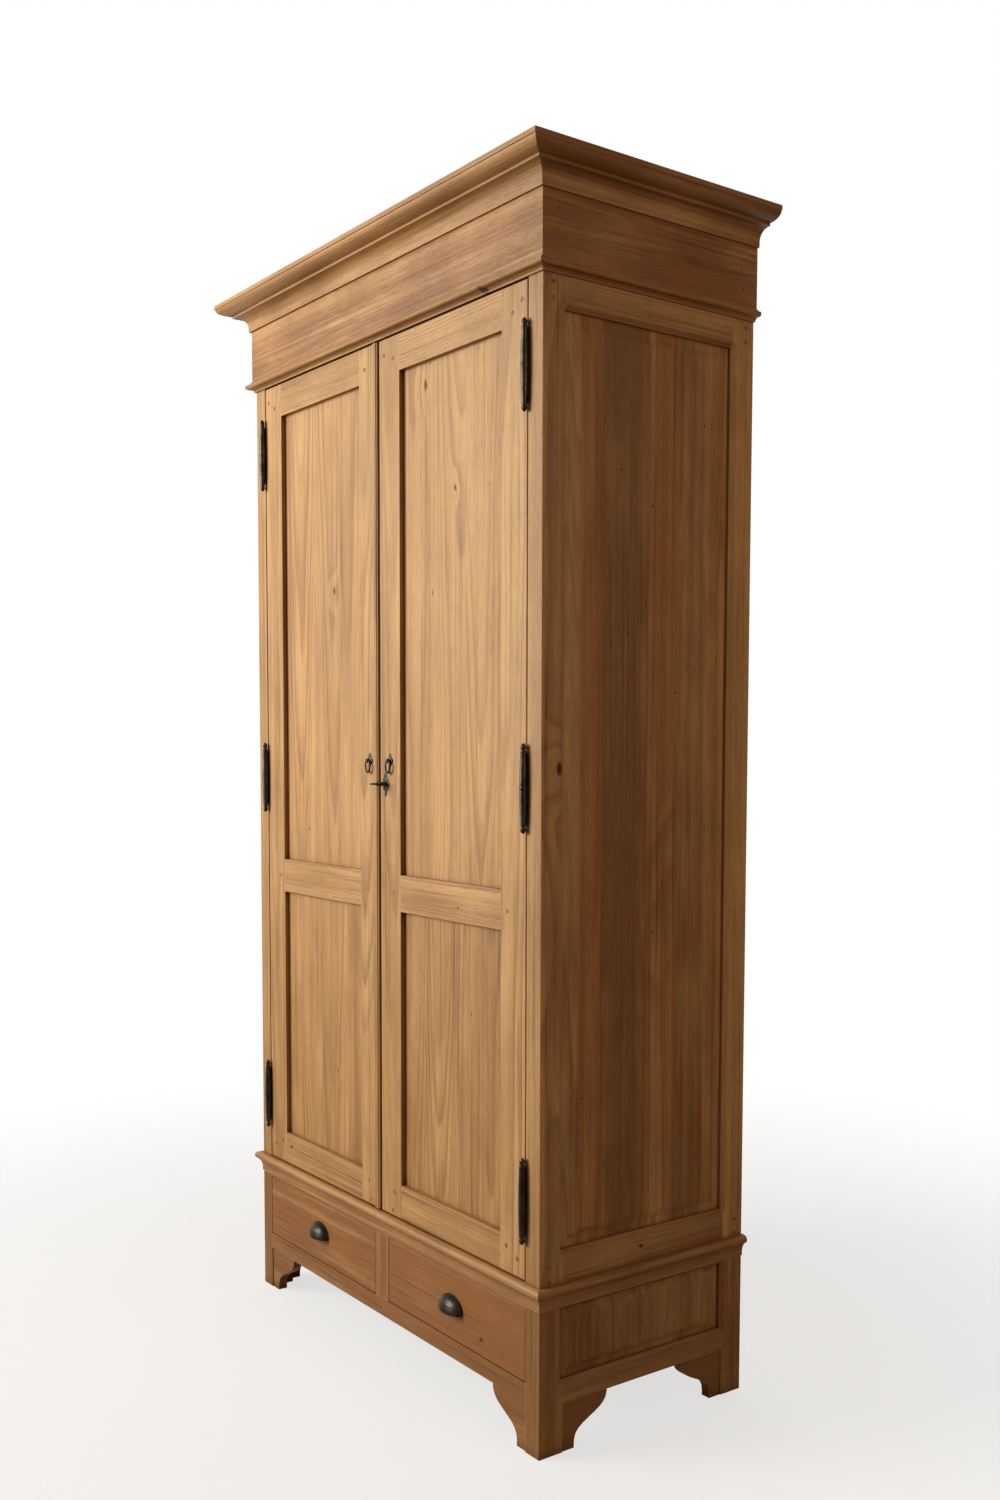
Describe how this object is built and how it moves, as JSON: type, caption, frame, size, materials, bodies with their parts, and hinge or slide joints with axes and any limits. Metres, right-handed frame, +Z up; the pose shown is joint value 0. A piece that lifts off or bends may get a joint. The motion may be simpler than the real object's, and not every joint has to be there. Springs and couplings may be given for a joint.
{
  "type": "armoire",
  "caption": "Tall two-door wooden armoire with moulded cornice, framed panels, cup-pull drawers in the base, ogee foot brackets, black iron hinges, ring pulls and a lock.",
  "frame": {"origin": "on the floor, under the middle of the overall bounding box", "axes": "+X to the right seen from the front, -Y out of the front, +Z up"},
  "size_m": [1.191, 0.551, 2.2],
  "materials": {
    "frame_wood": "oiled and waxed hardwood, satin, straight and cathedral grain with small knots",
    "panel_wood": "oiled and waxed hardwood boards of mixed tone, satin",
    "inner_wood": "plain sawn hardwood, lightly oiled",
    "peg_wood": "dark end grain of dowels",
    "black_iron": "blackened iron, dull with slight polish on the edges"
  },
  "bodies": {
    "carcass": {"base_posts": "frame_wood", "foot_brackets": "frame_wood", "front_lower_rail": "frame_wood", "base_top_rail": "frame_wood", "drawer_divider": "frame_wood", "base_side_rails": "frame_wood", "base_side_panels": "panel_wood", "base_back_board": "inner_wood", "drawer_runners": "inner_wood", "cabinet_floor": "inner_wood", "waist_moulding": "frame_wood", "necking_moulding": "frame_wood", "frieze_boards": "frame_wood", "cornice": "frame_wood", "upper_posts": "frame_wood", "frame_pegs": "peg_wood", "side_frame_rails": "frame_wood", "left_side_panel": "panel_wood", "right_side_panel": "panel_wood", "header_rail": "frame_wood", "back_boards": "inner_wood", "back_rails": "inner_wood", "top_boards": "inner_wood", "door_stops": "inner_wood", "bolt_keeps": "black_iron", "shelf_cleats": "inner_wood", "shelf": "inner_wood", "rail_sockets": "inner_wood", "hanging_rail": "inner_wood", "post_hinge_halves": "black_iron"},
    "right_door": {"right_meeting_stile": "frame_wood", "right_hinge_stile": "frame_wood", "right_door_rails": "frame_wood", "right_upper_panel": "panel_wood", "right_lower_panel": "panel_wood", "right_door_hinge_halves": "black_iron", "right_pull_rosette": "black_iron", "escutcheon": "black_iron", "lock_case": "black_iron"},
    "left_door": {"left_meeting_stile": "frame_wood", "left_hinge_stile": "frame_wood", "left_door_rails": "frame_wood", "left_upper_panel": "panel_wood", "left_lower_panel": "panel_wood", "left_door_hinge_halves": "black_iron", "left_pull_rosette": "black_iron", "meeting_strip": "frame_wood", "bolt_brackets": "black_iron"},
    "right_ring": {"right_pull_ring": "black_iron"},
    "left_ring": {"left_pull_ring": "black_iron"},
    "key": {"door_key": "black_iron"},
    "lock_bolt": {"lock_bolt": "black_iron"},
    "upper_bolt": {"upper_bolt": "black_iron"},
    "lower_bolt": {"lower_bolt": "black_iron"},
    "left_drawer": {"left_drawer_front": "frame_wood", "left_drawer_box": "inner_wood", "left_cup_pull": "black_iron"},
    "right_drawer": {"right_drawer_front": "frame_wood", "right_drawer_box": "inner_wood", "right_cup_pull": "black_iron"}
  },
  "joints": [
    {"name": "right_door_hinge", "type": "hinge", "parent": "carcass", "child": "right_door", "pos_m": [0.486, -0.215, 1.1565], "axis": [0, 0, 1], "range_deg": [0, 115]},
    {"name": "left_door_hinge", "type": "hinge", "parent": "carcass", "child": "left_door", "pos_m": [-0.486, -0.215, 1.1565], "axis": [0, 0, -1], "range_deg": [0, 115]},
    {"name": "left_drawer_slide", "type": "slide", "parent": "carcass", "child": "left_drawer", "axis": [0, -1, 0], "range_m": [0, 0.3]},
    {"name": "right_drawer_slide", "type": "slide", "parent": "carcass", "child": "right_drawer", "axis": [0, -1, 0], "range_m": [0, 0.3]},
    {"name": "right_ring_swing", "type": "hinge", "parent": "right_door", "child": "right_ring", "pos_m": [0.0385, -0.2135, 1.203], "axis": [-1, 0, 0], "range_deg": [0, 150]},
    {"name": "left_ring_swing", "type": "hinge", "parent": "left_door", "child": "left_ring", "pos_m": [-0.0385, -0.2135, 1.203], "axis": [-1, 0, 0], "range_deg": [0, 150]},
    {"name": "key_turn", "type": "hinge", "parent": "right_door", "child": "key", "pos_m": [0.022, -0.2075, 1.158], "axis": [0, -1, 0], "range_deg": [0, 180]},
    {"name": "lock_bolt_slide", "type": "slide", "parent": "right_door", "child": "lock_bolt", "axis": [-1, 0, 0], "range_m": [0, 0.008]},
    {"name": "upper_bolt_slide", "type": "slide", "parent": "left_door", "child": "upper_bolt", "axis": [0, 0, 1], "range_m": [0, 0.018]},
    {"name": "lower_bolt_slide", "type": "slide", "parent": "left_door", "child": "lower_bolt", "axis": [0, 0, -1], "range_m": [0, 0.018]}
  ],
  "couplings": [
    {"joint": "lock_bolt_slide", "follows": "key_turn", "m_per_rad": 0.0025465}
  ]
}
